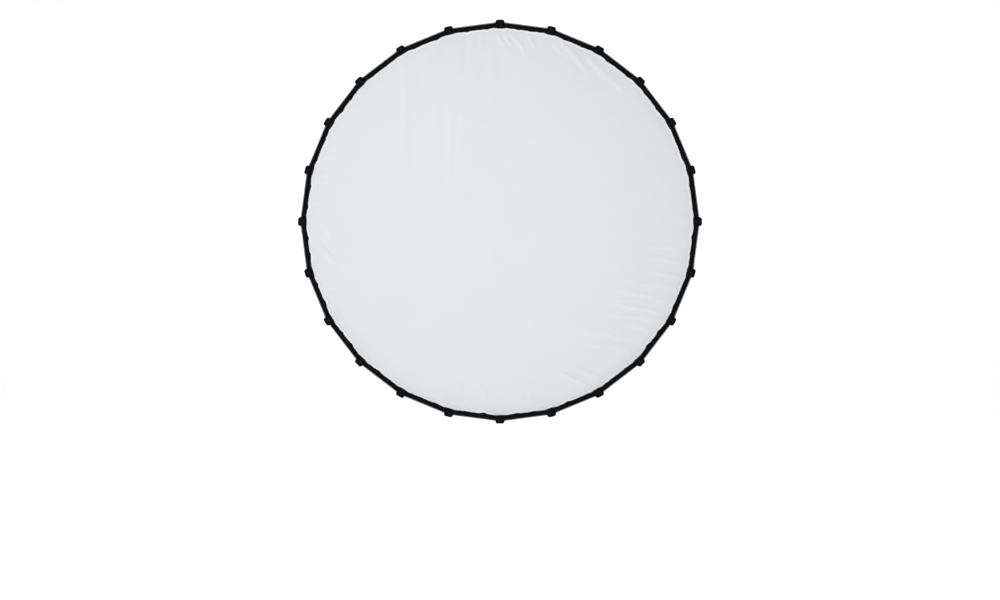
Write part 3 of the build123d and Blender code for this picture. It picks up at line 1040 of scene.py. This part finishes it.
@dataclass
class Rim:
    """The bound rim between the ribs' caps, its piping, and the rivet on each cap.

    The profile is in millimetres: along the rib from its tip, and out from its centre line.
    """

    finishes: Finishes
    cap_half: float = 12.6 * MM
    keep: float = 0.25
    steps: int = 26
    piping_r: float = 1.7 * MM
    piping_inset: float = 2.2 * MM
    piping_side: float = 8.6 * MM
    rivet_steps: int = 32
    profile: tuple[tuple[float, float], ...] = (
        (-17, 6.2), (-16.6, 7.0), (-9, 7.3), (-3, 7.2), (-0.4, 6.4), (1.1, 4.0), (1.6, 0.2), (1.2, -3.4),
        (-0.4, -4.8), (-4, -5.4), (-12, -5.5), (-30, -5.5), (-30.3, -4.8), (-30, -4.1), (-12, -4.0),
        (-4, -3.9), (-1.6, -3.0), (-0.9, 0.0), (-1.6, 3.4), (-4, 5.6),
    )
    rivet_profile: tuple[tuple[float, float], ...] = (
        (0.5, 1.1), (1.6, 1.05), (3.0, 0.7), (3.8, 0.2), (4.4, 0.15), (4.8, 0.8), (5.4, 1.05), (6.0, 0.75),
        (6.4, -0.6), (0.5, -0.6),
    )
    waves: tuple[tuple[float, float], ...] = ((96, 0), (120, 0), (168, 0), (264, 0))

    def section(self, rib: RibPlace, turn: float) -> np.ndarray:
        """The binding's section at one place between two ribs.

        Args:
            rib: the rib.
            turn: from -1 to 1 across the rib's strip.

        Returns:
            The section's points.
        """
        share = abs(turn)
        wave = float(ripple(np.array(rib.number + turn / 2), np.array(0.0), 3, self.waves))
        outer, inner = 1 + 0.05 * wave, 1 + 0.12 * wave
        points = []
        for along, side in self.profile:
            r, f = RIB.at(np.array(RIB.length + along * MM), side * MM * (outer if side > 0 else inner))
            flat = r * math.cos(HALF_STEP)
            out = r * (1 - share) + flat * math.cos(HALF_STEP) * share
            points.append(in_frame(np.array(out), f, np.array(flat * math.sin(HALF_STEP) * turn), rib.angle))
        return np.array(points)

    def make(self) -> list[bpy.types.Object]:
        """Makes the binding and the piping, in a left and a right half for each rib.

        Returns:
            The pieces.
        """
        made = []
        half = RIB.tip_r * math.cos(HALF_STEP) * math.sin(HALF_STEP)
        first = self.cap_half / half
        for rib in RIBS:
            for label, sign in (("a", -1), ("b", 1)):
                turns = np.linspace(first, 1.0, self.steps) * sign
                sections = np.array([self.section(rib, turn) for turn in turns])
                binding = loft(f"binding_{rib.tag}{label}", sections, self.finishes.binding, crease=1.0)
                cord = self._piping(rib, turns, label)
                for piece in (binding, cord):
                    rib.gather(piece, self.keep)
                    made.append(piece)
                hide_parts("outer_shell")
        return made

    def _piping(self, rib: RibPlace, turns: np.ndarray, label: str) -> bpy.types.Object:
        """The thin light piping along the rim's outer edge."""
        centre_r, centre_f = RIB.at(np.array(RIB.length - self.piping_inset), self.piping_side)
        circle = np.linspace(0, 2 * math.pi, 9)[:-1]
        sections = []
        for turn in turns:
            share = abs(turn)
            r = centre_r + self.piping_r * np.cos(circle)
            f = centre_f + self.piping_r * np.sin(circle)
            flat = centre_r * math.cos(HALF_STEP)
            drop = centre_r * share * (1 - math.cos(HALF_STEP) ** 2)
            across = np.full_like(circle, flat * math.sin(HALF_STEP) * turn)
            sections.append(in_frame(r - drop, f, across, rib.angle))
        return loft(f"piping_{rib.tag}{label}", np.array(sections), self.finishes.piping, crease=1.5)

    def make_rivets(self) -> list[bpy.types.Object]:
        """Makes the ringed rivet on the front of each end cap.

        Returns:
            The pieces.
        """
        face_f = -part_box("rib_01")[0][1]
        circle = np.linspace(0, 2 * math.pi, self.rivet_steps + 1)[:-1]
        made = []
        for rib in RIBS:
            centre_r = RIB.tip_r + 2.0 * MM
            sections = []
            for radius, height in self.rivet_profile:
                out, deep = radius * MM * np.cos(circle), np.full_like(circle, face_f + height * MM)
                sections.append(in_frame(centre_r + out, deep, radius * MM * np.sin(circle), rib.angle))
            piece = loft(f"cap_rivet_{rib.tag}", np.array(sections), self.finishes.rivet_steel, crease=0.9)
            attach(piece, rib.body)
            made.append(piece)
        return made


# --- the cloth sheets across the bowl -----------------------------------------------------------------
@dataclass(frozen=True)
class Fold:
    """One soft fold in a stretched sheet: a ridge that fades at its ends.

    x, z: its middle. heading: its direction in degrees from +X towards +Z. length, width and height
    are in metres. bend: how far its middle bows sideways.
    """

    x: float
    z: float
    heading: float
    length: float
    width: float
    height: float
    bend: float = 0.0

    def at(self, x: np.ndarray, z: np.ndarray) -> np.ndarray:
        """The fold's height at each point."""
        c, s = math.cos(math.radians(self.heading)), math.sin(math.radians(self.heading))
        along = (x - self.x) * c + (z - self.z) * s
        reach = along / (self.length / 2)
        aside = (z - self.z) * c - (x - self.x) * s - self.bend * (1 - reach**2)
        ridge = np.exp(-((aside / self.width) ** 2))
        trough = np.exp(-(((aside + 1.7 * self.width) / self.width) ** 2))
        return 1.25 * self.height * (ridge - 0.45 * trough) * np.exp(-(reach**4) * 1.3)


FRONT_FOLDS = (
    Fold(-0.281, 0.330, 90, 0.40, 0.009, 0.0011, 0.004),
    Fold(-0.260, 0.445, 91, 0.16, 0.007, 0.0009),
    Fold(-0.205, 0.320, 89, 0.36, 0.020, 0.0014, -0.006),
    Fold(-0.141, 0.310, 86, 0.40, 0.012, 0.0015, 0.008),
    Fold(-0.118, 0.470, 88, 0.13, 0.009, 0.0010),
    Fold(-0.075, 0.400, 91, 0.26, 0.020, 0.0012, 0.004),
    Fold(-0.022, 0.400, 90, 0.22, 0.012, 0.0013),
    Fold(0.030, 0.330, 64, 0.16, 0.020, 0.0009),
    Fold(-0.055, 0.545, 84, 0.06, 0.007, 0.0010),
    Fold(0.000, 0.548, -58, 0.065, 0.0065, 0.0013, 0.003),
    Fold(0.022, 0.550, -54, 0.055, 0.0060, 0.0010),
    Fold(0.052, 0.538, -50, 0.080, 0.0070, 0.0014, 0.004),
    Fold(0.095, 0.545, -62, 0.060, 0.0060, 0.0011),
    Fold(0.212, 0.505, -46, 0.135, 0.0085, 0.0021, 0.006),
    Fold(0.185, 0.520, -40, 0.100, 0.0070, 0.0010, -0.004),
    Fold(0.290, 0.470, -50, 0.090, 0.0090, 0.0010),
    Fold(0.345, 0.420, -44, 0.090, 0.0090, 0.0009),
    Fold(-0.533, -0.088, -48, 0.125, 0.0070, 0.0019, 0.004),
    Fold(-0.515, -0.030, -62, 0.075, 0.0070, 0.0010),
    Fold(-0.535, 0.030, -70, 0.070, 0.0080, 0.0008),
    Fold(-0.425, 0.320, -66, 0.080, 0.0090, 0.0008),
    Fold(0.505, -0.075, -4, 0.120, 0.0070, 0.00045),
    Fold(0.500, -0.115, -8, 0.140, 0.0070, 0.0005, 0.002),
    Fold(0.495, -0.160, -12, 0.120, 0.0065, 0.00065, 0.003),
    Fold(0.470, -0.188, -6, 0.150, 0.0065, 0.0006, -0.002),
    Fold(0.430, -0.225, -14, 0.150, 0.0070, 0.0007, 0.004),
    Fold(0.415, -0.262, -9, 0.150, 0.0060, 0.00095, 0.003),
    Fold(0.400, -0.283, -6, 0.130, 0.0060, 0.00075, -0.002),
    Fold(0.425, -0.318, -10, 0.110, 0.0065, 0.00075, 0.003),
    Fold(0.335, -0.345, -12, 0.190, 0.0075, 0.00065, 0.004),
    Fold(0.310, -0.372, -8, 0.150, 0.0080, 0.0005),
    Fold(0.232, -0.480, -28, 0.120, 0.0070, 0.0014, 0.003),
    Fold(0.262, -0.452, -22, 0.090, 0.0070, 0.0010),
    Fold(-0.045, -0.520, -70, 0.080, 0.0080, 0.0009),
    Fold(-0.115, -0.520, -96, 0.080, 0.0070, 0.0012),
    Fold(-0.150, -0.505, -104, 0.090, 0.0070, 0.0010),
    Fold(-0.185, -0.500, -112, 0.070, 0.0080, 0.0009),
    Fold(0.090, -0.525, -80, 0.070, 0.0080, 0.0008),
    Fold(-0.340, -0.425, -128, 0.090, 0.0100, 0.0008),
)


@dataclass
class StretchedSheet:
    """A cloth sheet across the bowl: a ring of strips that ride the ribs round a middle of wedges.

    corner_r: its corners, in the ribs' planes. plane_f: its depth. split_r: where strips meet wedges.
    pucker: the tucks' height by the edge. keep: a strip's width once folded, as a share; not used. wavy: how
    far the edge's small points draw in. cap_notch: how far the edge draws in behind a cap.
    """

    name: str
    node: str
    corner_r: float
    plane_f: float
    split_r: float
    cloth: bpy.types.Material
    hem: bpy.types.Material
    folds: tuple[Fold, ...] = ()
    thickness: float = 0.7 * MM
    hem_width: float = 5.5 * MM
    pucker: float = 0.9 * MM
    columns: int = 36
    keep: float = 0.245
    wavy: float = 4.0 * MM
    cap_notch: float = 3.0 * MM
    stitch_inset: float = 3.6 * MM
    strip_rows: int = 30
    wedge_rows: int = 36
    edge_waves: tuple[tuple[float, float], ...] = ((72, 0), (53, 0), (31, 0))
    tuck_waves: tuple[tuple[float, float], ...] = ((96, 8), (120, -11), (53, 6), (168, 9), (72, -5))
    broad_waves: tuple[tuple[float, float], ...] = ((3, 9), (5, -13), (2, 17), (7, 8))

    def edge(self, turn: np.ndarray, number: float) -> np.ndarray:
        """The sheet's edge: straight from cap to cap, but for the small points where it is sewn.

        Args:
            turn: from -1 to 1 across a rib's strip.
            number: the rib.

        Returns:
            Distances from the axis.
        """
        local = np.abs(turn) * HALF_STEP
        line = self.corner_r * math.cos(HALF_STEP) / np.cos(HALF_STEP - local)
        place = number + turn / 2
        wave = ripple(place, np.zeros_like(place), 21, self.edge_waves)
        side = 2 * self.corner_r * math.sin(HALF_STEP)
        notch = self.cap_notch * np.exp(-((local / HALF_STEP * side / 2 / (14 * MM)) ** 4))
        chance = np.random.default_rng(17)
        points = np.zeros_like(place)
        for gap in range(RIB_COUNT):
            for at in (0.3 + chance.uniform(-0.08, 0.08), 0.68 + chance.uniform(-0.1, 0.08)):
                depth, width = chance.uniform(0.35, 1.25), chance.uniform(5, 9) * MM
                aside = ((place - gap - at + RIB_COUNT / 2) % RIB_COUNT - RIB_COUNT / 2) * side
                points += depth * np.exp(-np.sqrt((aside / width) ** 2 + 0.05))
        return line + self.wavy * (0.35 * wave - points) - notch

    def height(self, x: np.ndarray, z: np.ndarray) -> np.ndarray:
        """How far the cloth stands forward of its plane."""
        r = np.hypot(x, z)
        place = np.arctan2(x, z) / STEP
        near_edge = np.exp(-((self.corner_r - r) / 0.05) ** 2)
        tucks = ripple(place, r, 31, self.tuck_waves)
        broad = ripple(place, r, 32, self.broad_waves) * np.clip(r / 0.1, 0, 1)
        total = self.pucker * tucks * near_edge + 1.0 * MM * broad
        for fold in self.folds:
            total = total + fold.at(x, z)
        settle = np.clip((self.corner_r * 0.985 - r) / 0.02, 0, 1)
        return total * (0.25 + 0.75 * settle)

    def grid(self, rib: RibPlace, shares: np.ndarray) -> tuple[np.ndarray, np.ndarray, np.ndarray]:
        """One rib's part of the sheet.

        Args:
            rib: the rib.
            shares: rows, as shares of the way out to the edge.

        Returns:
            Points, normals, and each point's distance in from the edge.
        """
        rows, turns = np.meshgrid(shares, np.linspace(-1, 1, self.columns + 1), indexing="ij")
        edge = self.edge(turns, rib.number)
        r, angle = rows * edge, rib.angle + turns * HALF_STEP
        x, z = r * np.sin(angle), r * np.cos(angle)
        step = 0.5 * MM
        slope_x = (self.height(x + step, z) - self.height(x - step, z)) / (2 * step)
        slope_z = (self.height(x, z + step) - self.height(x, z - step)) / (2 * step)
        normals = unit(np.stack([-slope_x, -np.ones_like(x), -slope_z], axis=-1))
        inset = edge - r
        hem = 0.5 * MM * np.clip((self.hem_width - inset) / (0.6 * MM), 0, 1)
        y = -self.plane_f - self.height(x, z) - hem
        return np.stack([x, y, z], axis=-1), normals, inset

    def make(self) -> list[bpy.types.Object]:
        """Makes the strips and the wedges.

        Returns:
            The pieces.
        """
        split = self.split_r / self.corner_r
        hem_share = self.hem_width / self.corner_r
        outer = np.concatenate([
            np.linspace(split, 1 - hem_share * 1.12, self.strip_rows),
            1 - hem_share * np.array([1.0, 0.88, 0.5, 0.12, 0.0]),
        ])
        inner = np.concatenate([[0.0], np.linspace(0.03, split, self.wedge_rows)])
        made = []
        for rib in RIBS:
            strip = self._piece(f"{self.name}_strip_{rib.tag}", rib, outer, hem_from=self.strip_rows)
            rib.gather(strip, self.keep)
            wedge = self._piece(f"{self.name}_wedge_{rib.tag}", rib, inner, pole=True)
            rib.draw_in(wedge, self.split_r, self.plane_f, 0.03)
            wide, narrow = 2 * self.corner_r * math.tan(HALF_STEP), 2 * self.split_r * math.tan(HALF_STEP)
            deep = self.corner_r - self.split_r
            area = (wide + narrow) / 2 * deep
            flat, area = (narrow, self.split_r), narrow * self.split_r / 2
            made += [strip, wedge]
        return made

    def _piece(self, name: str, rib: RibPlace, shares: np.ndarray, hem_from: int = 999,
               pole: bool = False) -> bpy.types.Object:
        """One strip or wedge."""
        points, normals, inset = self.grid(rib, shares)
        if pole:
            points[0] = points[0].mean(axis=0)
            normals[0] = (0, -1, 0)
        thick = self.thickness + 0.8 * MM * np.clip((self.hem_width - inset) / (0.6 * MM), 0, 1)
        sheet = Sheet(name, points, normals, thick)
        sheet.flat[..., 0] = points[..., 0]
        sheet.flat[..., 1] = points[..., 2]
        materials = [self.cloth, self.hem]
        piece = sheet.build(materials, lambda row, column, front: 1 if row >= hem_from else 0, pole)
        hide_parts(self.node)
        return piece

    def sew_hem(self, stitcher: StitchMaker, thread: bpy.types.Material) -> int:
        """Sews a row of stitches along the hem.

        Args:
            stitcher: makes the stitches.
            thread: their material.

        Returns:
            How many pieces were made.
        """
        share = 1 - self.stitch_inset / self.corner_r
        for rib in RIBS:
            points, normals, _ = self.grid(rib, np.array([share]))
            line = points[0] + normals[0] * 0.12 * MM
            sewn = stitcher.sew(
                f"{self.name}_hem_stitches_{rib.tag}", [line], thread,
                pitch=4 * MM, length=2.8 * MM, width=0.6 * MM,
            )
            rib.gather(sewn, self.keep)
        return len(RIBS)


# --- the hard parts' finishes ---------------------------------------------------------------------------
@dataclass
class HardParts:
    """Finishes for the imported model's own nodes."""

    finishes: Finishes

    def dress(self, nodes: dict) -> int:
        """Gives every node that stays its finish.

        Args:
            nodes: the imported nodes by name.

        Returns:
            How many were dressed.
        """
        plain = {
            "bayonet_ring": self.finishes.aluminium,
            "bayonet_screws": self.finishes.steel,
            "rib_hub": self.finishes.hub_nylon,
            "rib_hinge_pins": self.finishes.steel,
            "guide_rods": self.finishes.steel,
            "runner_ring": self.finishes.hub_nylon,
            "runner_pins": self.finishes.steel,
            "release_button": self.finishes.button_red,
        }
        for rib in RIBS:
            plain[rib.body] = self.finishes.rib_plastic
            plain[f"link_{rib.tag}"] = self.finishes.link_steel
        for name, material in plain.items():
            self._paint(nodes[name], material)
        return len(plain)

    @staticmethod
    def _paint(node: bpy.types.Object, material: bpy.types.Material) -> None:
        """Puts a material in every slot of a node's object."""
        if not node.material_slots:
            node.data.materials.append(material)
        for held in node.material_slots:
            held.material = material


@dataclass
class ButtonSpring:
    """The coil spring under the release button.

    depth_f: the button's depth. head_r and seat_r: from the lamp's axis to the coil's two ends.
    """

    steel: bpy.types.Material
    depth_f: float = 65.1 * MM
    head_r: float = 47.8 * MM
    seat_r: float = 54.1 * MM
    radius: float = 3.0 * MM
    wire: float = 0.35 * MM
    turns: float = 5.0
    travel: float = 2.0 * MM

    def make(self) -> bpy.types.Object:
        """Makes the coil.

        Returns:
            The piece.
        """
        steps = np.linspace(0, 1, 121)
        turn = steps * self.turns * 2 * math.pi
        middle = -(self.head_r + self.wire + (self.seat_r - self.head_r - 2 * self.wire) * steps)
        x, y = self.radius * np.cos(turn), -self.depth_f + self.radius * np.sin(turn)
        path = np.stack([x, y, middle], axis=-1)
        ahead = unit(np.gradient(path, axis=0))
        out = unit(np.stack([np.cos(turn), np.sin(turn), np.zeros_like(turn)], axis=-1))
        third = np.cross(ahead, out)
        circle = np.linspace(0, 2 * math.pi, 9)[:-1]
        ring = out[:, None] * np.cos(circle)[:, None] + third[:, None] * np.sin(circle)[:, None]
        coil = loft("button_coil", path[:, None] + ring * self.wire, self.steel, crease=1.2)
        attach(coil, "runner")
        keep = 1 - self.travel / (self.seat_r - self.head_r)
        -self.depth_f
        -self.seat_r
        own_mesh(coil)
        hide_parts("button_spring")
        return coil


@dataclass(frozen=True)
class SoftLight:
    """A soft square light: its place and side in metres, and its power in watts."""

    name: str
    place: tuple[float, float, float]
    side: float
    power: float


@dataclass
class Studio:
    """A white studio sweep, soft light from the upper left, and the camera.

    rim_y: the rim's plane. distance: of the camera from it. view_width: how much of that plane the
    camera takes in. air: the strength of the light from all round.
    """

    finishes: Finishes
    floor_z: float = -1.5
    half_width: float = 9.0
    curve: float = 1.5
    rim_y: float = -0.5536
    distance: float = 5.0
    sensor: float = 36.0
    view_width: float = 3.0
    shift: float = -0.0784
    air: float = 0.32
    pool_power: float = 455.0
    lights: tuple[SoftLight, ...] = (
        SoftLight("key", (-1.9, -2.6, 1.15), 0.8, 13.0),
        SoftLight("left", (-1.25, -3.2, 0.35), 0.7, 4.0),
        SoftLight("right", (1.35, -3.2, 0.25), 0.8, 8.0),
        SoftLight("top", (0.0, 0.8, 3.0), 3.0, 34.0),
        SoftLight("back_left", (-3.0, 3.0, 1.8), 2.4, 60.0),
        SoftLight("back_right", (3.0, 3.0, 1.2), 2.4, 45.0),
    )

    def build(self) -> None:
        """Makes the sweep, the lights and the camera."""
        self._sweep()
        for light in self.lights:
            self._light(light)
        self._pool()
        world = bpy.data.worlds.new("studio_air")
        world.use_nodes = True
        background = world.node_tree.nodes["Background"]
        background.inputs["Color"].default_value = (1, 1, 1, 1)
        background.inputs["Strength"].default_value = self.air
        bpy.context.scene.world = world
        bpy.context.scene.view_settings.view_transform = "Standard"
        self._camera()

    def _sweep(self) -> None:
        """A floor that curves up into a back wall."""
        profile = [(-self.half_width, 0.0), (3.5, 0.0)]
        for angle in np.linspace(0.1, math.pi / 2, 12):
            profile.append((3.5 + self.curve * math.sin(angle), self.curve * (1 - math.cos(angle))))
        profile += [(3.5 + self.curve, 7.0)]
        points = [(x, y, self.floor_z + z) for y, z in profile for x in (-self.half_width, self.half_width)]
        faces = [[2 * i, 2 * i + 1, 2 * i + 3, 2 * i + 2] for i in range(len(profile) - 1)]
        mesh = bpy.data.meshes.new("studio_sweep")
        mesh.from_pydata(points, [], faces)
        mesh.materials.append(self.finishes.studio)
        mesh.polygons.foreach_set("use_smooth", [True] * len(faces))
        sweep = bpy.data.objects.new("studio_sweep", mesh)
        bpy.context.scene.collection.objects.link(sweep)

    def _light(self, light: SoftLight) -> None:
        """Makes a light, aimed at the object's middle."""
        lamp = bpy.data.lights.new(light.name, "AREA")
        lamp.shape, lamp.size, lamp.energy = "SQUARE", light.side, light.power
        made = bpy.data.objects.new(light.name, lamp)
        bpy.context.scene.collection.objects.link(made)
        made.location = light.place
        self._aim(made, (0.0, -0.3, 0.0))

    def _pool(self) -> None:
        """A soft pool of light on the front sheet, fading towards its rim."""
        lamp = bpy.data.lights.new("pool", "SPOT")
        lamp.energy, lamp.shadow_soft_size = self.pool_power, 0.35
        lamp.spot_size, lamp.spot_blend = math.radians(27), 1.0
        made = bpy.data.objects.new("pool", lamp)
        bpy.context.scene.collection.objects.link(made)
        made.location = (-0.5, self.rim_y - self.distance - 0.4, 0.5)
        self._aim(made, (-0.06, self.rim_y, 0.01))

    @staticmethod
    def _aim(lamp: bpy.types.Object, point: tuple[float, float, float]) -> None:
        """Turns a lamp to a point."""
        lamp.rotation_euler = (Vector(point) - Vector(lamp.location)).to_track_quat("-Z", "Y").to_euler()

    def _camera(self) -> None:
        """The camera, straight on, level with the disc's centre."""
        data = bpy.data.cameras.new("camera")
        data.sensor_width = self.sensor
        data.lens = self.sensor * self.distance / self.view_width
        data.shift_y = self.shift
        data.clip_end = 60.0
        camera = bpy.data.objects.new("camera", data)
        bpy.context.scene.collection.objects.link(camera)
        camera.location = (0.0, self.rim_y - self.distance, 0.0)
        camera.rotation_euler = (math.pi / 2, 0.0, 0.0)
        bpy.context.scene.camera = camera


def main() -> None:
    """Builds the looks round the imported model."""
    logging.basicConfig(level=logging.INFO, format="%(name)s: %(message)s")
    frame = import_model()
    finishes = Finishes()
    stitcher = StitchMaker()
    log.info("hard parts: %d nodes dressed", HardParts(finishes).dress(frame["nodes"]))
    bowl = Bowl(finishes, stitcher)
    log.info("gores: %d pieces", len(bowl.make_gores()))
    log.info("neck: %d pieces", len(bowl.make_skirts()))
    log.info("seams: %d pieces", len(bowl.make_seams()))
    rim = Rim(finishes)
    log.info("rim: %d pieces", len(rim.make()))
    log.info("cap rivets: %d pieces", len(rim.make_rivets()))
    front = StretchedSheet(
        "front", "front_diffuser", corner_r=584.2 * MM, plane_f=546.3 * MM, split_r=402 * MM,
        cloth=finishes.front_cloth, hem=finishes.hem, folds=FRONT_FOLDS,
    )
    log.info("front sheet: %d pieces", len(front.make()))
    log.info("front hem: %d pieces", front.sew_hem(stitcher, finishes.white_thread))
    baffle = StretchedSheet(
        "baffle", "inner_baffle", corner_r=424 * MM, plane_f=300 * MM, split_r=222 * MM,
        cloth=finishes.inner_cloth, hem=finishes.inner_cloth,
        columns=10, keep=0.4, wavy=1.0 * MM, cap_notch=0.0,
    )
    log.info("inner baffle: %d pieces", len(baffle.make()))
    log.info("button spring: %s", ButtonSpring(finishes.steel).make().name)
    Studio(finishes).build()


if __name__ == "__main__":
    main()
